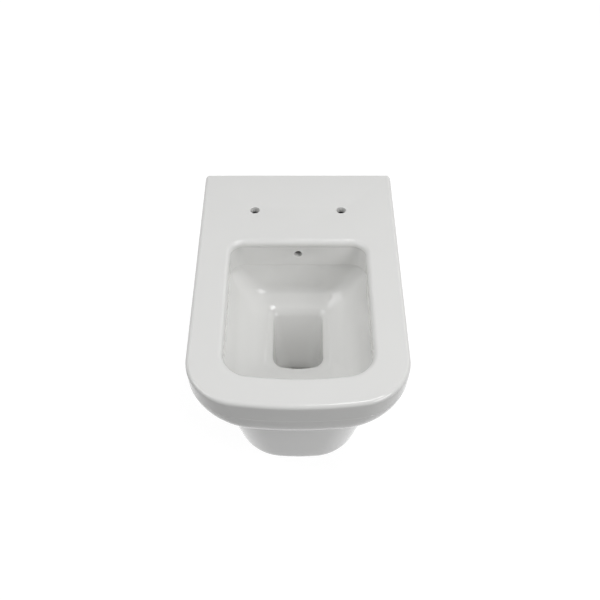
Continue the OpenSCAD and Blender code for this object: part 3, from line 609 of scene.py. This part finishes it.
def under_level(q, d):
    """Level of the rounded underside: depth, half width, front, corner radius and front radius."""
    e = under_in(q) + d
    rf = CORNER_R - e + corner_extra(q)
    return np.array([q, PAN_W / 2 - e, PAN_LEN - e, rf, FRONT_BOW - e])


def leg_level(q, d):
    """Level of the lower body, with the same five values."""
    s = (q - LEG_Q) / (PAN_H - LEG_Q)
    return np.array([q, leg_hw(q) - d, mix(LEG_TOP_LEN, LEG_LOW_LEN, s) - d,
                     mix(LEG_TOP_R, LEG_LOW_R, s) - d, LEG_BOW - d])


def casing_rings(d, back, rr):
    """Rings of the casing from the bottom up, moved in by d."""
    r = FOOT_R - d
    levels = [leg_level(FOOT_Q + r * math.sin(a), d + r * (1 - math.cos(a)))
              for a in reversed(arc(16))]
    levels += [leg_level(q, d) for q in np.linspace(FOOT_Q, NECK_Q, 12)[1:-1]]
    neck = rounded(under_level(UNDER_END, d), leg_level(LEG_Q, d), leg_level(NECK_Q, d), 12)
    levels += neck[::-1]
    levels += [under_level(q, d) for q in np.linspace(UNDER_END, BAND_H + SEAM, 16)[1:]]
    rings = [ring(outline(hw, back, p1, rr, rf, bow), q) for q, hw, p1, rf, bow in levels]
    return rings + [ring(pan_outline(d + (0 if d else SEAM), back, BAND_H), BAND_H)]


def lock_frames():
    """Frames of the locking screws on both sides: origin on the outer face, z pointing out."""
    turn = math.pi / 2 + math.atan((LEG_TOP_W - LEG_LOW_W) / 2 / (PAN_H - LEG_Q))
    return [at(side * leg_hw(LOCK_Q), LOCK_P, LOCK_Q, Matrix.Rotation(side * turn, 4, "Y"))
            for side in (-1, 1)]


def casing():
    """Underside, lower body, foot and rear wall as one smooth casting."""
    rings = casing_rings(0, 0, REAR_CORNER_R) + casing_rings(WALL_T, REAR_T, INNER_R)[::-1]
    piece = loft("casing_glazed", rings, False)
    tools = [hole(0, INLET_Q, HORN_D + 2 * FIT, 0, REAR_T)]
    tools += [hole(x, FIX_Q, HUB_D + 2 * FIT, 0, REAR_T) for x in pair(FIX_SPACING)]
    tools.append(box_tool(-WINDOW_W / 2, WINDOW_W / 2, -OVER, REAR_T + OVER,
                          WINDOW_TOP, WINDOW_TOP + WINDOW_H))
    bush = [(BUSH_HOLE_D / 2, -2 * WALL_T), (BUSH_HOLE_D / 2, WALL_T)]
    tools += [turned_tool(bush, place) for place in lock_frames()]
    combine(piece, tools, "DIFFERENCE")
    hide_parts("rear_wall", "belly", "lower_body", "foot")


def horn():
    """Flush inlet horn with a rounded mouth to its socket."""
    r, outer, socket, passage = HORN_MOUTH_R, HORN_D / 2, INLET_D / 2, PASSAGE_D / 2
    shoulder_h, steps = 1.0, 96
    profile = [(outer, CHANNEL_REAR), (outer, r)]
    profile += [(outer - r * (1 - math.cos(a)), r * (1 - math.sin(a))) for a in arc(5)]
    profile += [(socket + r * (1 - math.sin(a)), r * (1 - math.cos(a))) for a in arc(5)]
    profile += [(socket, INLET_SOCKET), (passage, INLET_SOCKET + shoulder_h),
                (passage, CHANNEL_REAR)]
    place = at(0, 0, INLET_Q, TO_FRONT)
    points = [place @ Vector(v) for radius, height in reversed(profile)
              for v in circle(radius / 1000, height / 1000, steps)]
    faces = loft_faces(len(profile), steps, True)
    piece = mesh_object("inlet_horn_glazed", points, faces, "glazed_china")
    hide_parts("inlet_horn")


# Fixings

def thread_points(radius, pitch, low, high):
    """Points and faces of a threaded rod along z, from low to high, with bevelled ends."""
    # The depth is a metric thread's share of its pitch
    depth, per_turn, steps = 0.55 * pitch, 8, 32
    count = round((high - low) / pitch * per_turn)
    turns = np.arange(steps) / steps
    rings = []
    for h in np.linspace(low, high, count + 1):
        bevel = max(0.0, depth - min(h - low, high - h))
        phase = (h / pitch - turns) % 1.0
        # Flat crests and roots with straight flanks between them
        r = radius - depth * np.clip(1.6 * abs(2 * phase - 1) - 0.3, 0, 1)
        r = np.minimum(r, radius - bevel)
        rings.append(np.column_stack([r * np.cos(2 * np.pi * turns), r * np.sin(2 * np.pi * turns),
                                      np.full(steps, h)]) / 1000)
    return np.concatenate(rings), loft_faces(len(rings), steps, False)


def threaded(name, radius, pitch, low, high, matrices, node):
    """Threaded rods at the given frames, in one piece that replaces a node."""
    rod, rod_faces = thread_points(radius, pitch, low, high)
    points, faces = [], []
    for matrix in matrices:
        faces += [tuple(i + len(points) for i in face) for face in rod_faces]
        points += [tuple(matrix @ Vector(v)) for v in rod]
    piece = mesh_object(name, points, faces, "zinc_steel")
    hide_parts(node)
    return piece


def fix_frames(p):
    """Frames on the two stud axes at the distance p, with z towards the front."""
    return [at(x, p, FIX_Q, TO_FRONT) for x in pair(FIX_SPACING)]


def hexagon(af, low, high):
    """Points of a hexagonal bar along z in metres, from its width across flats and ends in mm."""
    r = af / 2 / math.cos(math.pi / 6)
    return circle(r / 1000, low / 1000, 6) + circle(r / 1000, high / 1000, 6)


def stud_nut(name, place):
    """A hexagon nut with bevelled corners and a bevelled bore."""
    points = [place @ Vector(v) for v in hexagon(NUT_AF, 0, NUT_H)]
    nut = mesh_object(name, points, loft_faces(2, 6, False), "zinc_steel")
    flat_r, r = NUT_AF / 2, STUD_D / 2 + PLAY / 2
    inset, corner_cut, bore_cut, past = 0.3, 1.0, 1.2, 0.1
    corner_r = flat_r / math.cos(math.pi / 6) + past
    outside = [(flat_r - inset, 0), (corner_r, corner_cut),
               (corner_r, NUT_H - corner_cut), (flat_r - inset, NUT_H)]
    combine(nut, [turned_tool(outside, place)], "INTERSECT")
    bore = [(r + bore_cut, -past), (r, bore_cut - past),
            (r, NUT_H - bore_cut + past), (r + bore_cut, NUT_H + past)]
    combine(nut, [turned_tool(bore, place)], "DIFFERENCE")
    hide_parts("stud_nuts")


def studs_and_nuts():
    """Threaded studs and the nuts on them."""
    nut_p = HUB_LEN - GASKET_T + WASHER_T
    threaded("studs_threaded", STUD_D / 2 - PLAY / 2, STUD_PITCH, -GASKET_T - STUD_BACK,
             nut_p + NUT_H + STUD_END, fix_frames(0), "wall_studs")
    for side, place in zip(("left", "right"), fix_frames(nut_p)):
        stud_nut("stud_nut_" + side, place)


def lock_screws():
    """Set screws with a fine thread and a hexagon socket."""
    frames = lock_frames()
    screws = threaded("lock_screws_threaded", LOCK_D / 2 - PLAY / 2, LOCK_PITCH,
                      -SCREW_IN - SCREW_LEN, -SCREW_IN, frames, "lock_screws")
    socket = hexagon(HEX_KEY, -SCREW_IN - HEX_DEEP, OVER)
    sockets = [tool_mesh(socket, loft_faces(2, 6, False), place) for place in frames]
    combine(screws, sockets, "DIFFERENCE")


# Camera, light and floor

# The photograph's view, in metres, degrees and millimetres of film. The picture is shifted by two
# of its 600 pixels.
CAMERA_PLACE, CAMERA_DOWN = (0.0, -1.2185, 1.092), 48.3
LENS, FILM_W, SHIFT = 50.0, 36.0, 2 / 600
# Light from all around, and the tone of the backdrop
SOFT_LIGHT, BACKDROP = 0.2, 0.8
# Tones of the floor for the light that bounces off it and where it is seen, and its own glow there
FLOOR_BOUNCE, FLOOR_SEEN, FLOOR_GLOW = 0.25, 0.22, 0.9
FLOOR_HALF, FLOOR_Z = 8, -0.32


def grey(tone):
    """A neutral colour."""
    return (tone, tone, tone, 1.0)


def camera():
    """In front of the pan and above it, looking down into the bowl."""
    data = bpy.data.cameras.new("camera")
    data.lens, data.sensor_width = LENS, FILM_W
    data.shift_x = SHIFT
    obj = bpy.data.objects.new("camera", data)
    bpy.context.collection.objects.link(obj)
    obj.location = CAMERA_PLACE
    obj.rotation_euler = (math.radians(90 - CAMERA_DOWN), 0.0, 0.0)
    bpy.context.scene.camera = obj


def area(name, place, target, size, power):
    """A square area lamp aimed at a point, in metres and watts."""
    data = bpy.data.lights.new(name, "AREA")
    data.size, data.energy = size, power
    data.spread = math.pi
    obj = bpy.data.objects.new(name, data)
    bpy.context.collection.objects.link(obj)
    obj.location = place
    obj.rotation_euler = (Vector(target) - Vector(place)).to_track_quat("-Z", "Y").to_euler()
    return obj


def seen_directly(nodes, links):
    """One for camera, glossy and transmission rays, nought for the light that falls on things."""
    path = nodes.new("ShaderNodeLightPath")
    value = path.outputs["Is Camera Ray"]
    for name in ("Is Glossy Ray", "Is Transmission Ray"):
        larger = nodes.new("ShaderNodeMath")
        larger.operation = "MAXIMUM"
        links.new(value, larger.inputs[0])
        links.new(path.outputs[name], larger.inputs[1])
        value = larger.outputs[0]
    return value


def world():
    """Even soft light, and a pale backdrop where the camera, glass or gloss sees past the floor."""
    scene_world = bpy.data.worlds.new("studio")
    bpy.context.scene.world = scene_world
    scene_world.use_nodes = True
    nodes, links = scene_world.node_tree.nodes, scene_world.node_tree.links
    soft = nodes["Background"]
    soft.inputs["Color"].default_value = grey(1.0)
    soft.inputs["Strength"].default_value = SOFT_LIGHT
    pale = nodes.new("ShaderNodeBackground")
    pale.inputs["Color"].default_value = grey(BACKDROP)
    pale.inputs["Strength"].default_value = 1.0
    choose = nodes.new("ShaderNodeMixShader")
    links.new(seen_directly(nodes, links), choose.inputs["Fac"])
    links.new(soft.outputs["Background"], choose.inputs[1])
    links.new(pale.outputs["Background"], choose.inputs[2])
    links.new(choose.outputs["Shader"], nodes["World Output"].inputs["Surface"])


def floor_material():
    """White with shadows where it is seen, and grey for the light that bounces off it."""
    material, nodes, links = new_material("floor")
    nodes.remove(nodes["Principled BSDF"])
    pale = nodes.new("ShaderNodeBsdfDiffuse")
    pale.inputs["Color"].default_value = grey(FLOOR_BOUNCE)
    shaded = nodes.new("ShaderNodeBsdfDiffuse")
    shaded.inputs["Color"].default_value = grey(FLOOR_SEEN)
    glow = nodes.new("ShaderNodeEmission")
    glow.inputs["Strength"].default_value = FLOOR_GLOW
    both = nodes.new("ShaderNodeAddShader")
    links.new(shaded.outputs["BSDF"], both.inputs[0])
    links.new(glow.outputs["Emission"], both.inputs[1])
    choose = nodes.new("ShaderNodeMixShader")
    links.new(seen_directly(nodes, links), choose.inputs["Fac"])
    links.new(pale.outputs["BSDF"], choose.inputs[1])
    links.new(both.outputs["Shader"], choose.inputs[2])
    links.new(choose.outputs["Shader"], nodes["Material Output"].inputs["Surface"])
    return material


def floor():
    """A wide pale floor below the mounted pan."""
    r = FLOOR_HALF
    mesh = bpy.data.meshes.new("floor")
    mesh.from_pydata([(-r, -r, 0), (r, -r, 0), (r, r, 0), (-r, r, 0)], [], [(0, 1, 2, 3)])
    obj = bpy.data.objects.new("floor", mesh)
    obj.location = (0, 0, FLOOR_Z)
    bpy.context.collection.objects.link(obj)
    mesh.materials.append(floor_material())


def lights():
    """A key lamp overhead, wide soft lamps around the pan, and a low one for its back."""
    middle = (0, -0.3, 0.0)
    area("key", (0.44, -0.16, 2.2), (0.05, -0.35, 0.05), 0.75, 11.7)
    area("left", (-1.6, -0.6, 1.6), middle, 1.4, 13.8)
    area("right", (1.6, -1.6, 1.5), middle, 1.2, 20.2)
    area("rear", (1.5, 1.3, 1.2), middle, 1.5, 5.4)
    back = area("back", (-0.5, 1.9, -0.13), (0, 0, -0.1), 0.36, 12.5)
    back.visible_camera = False


dress_nodes()
rim_deck()
bowl_and_trap()
casing()
horn()
studs_and_nuts()
lock_screws()
camera()
world()
lights()
floor()

bpy.context.scene.view_settings.view_transform = "Standard"
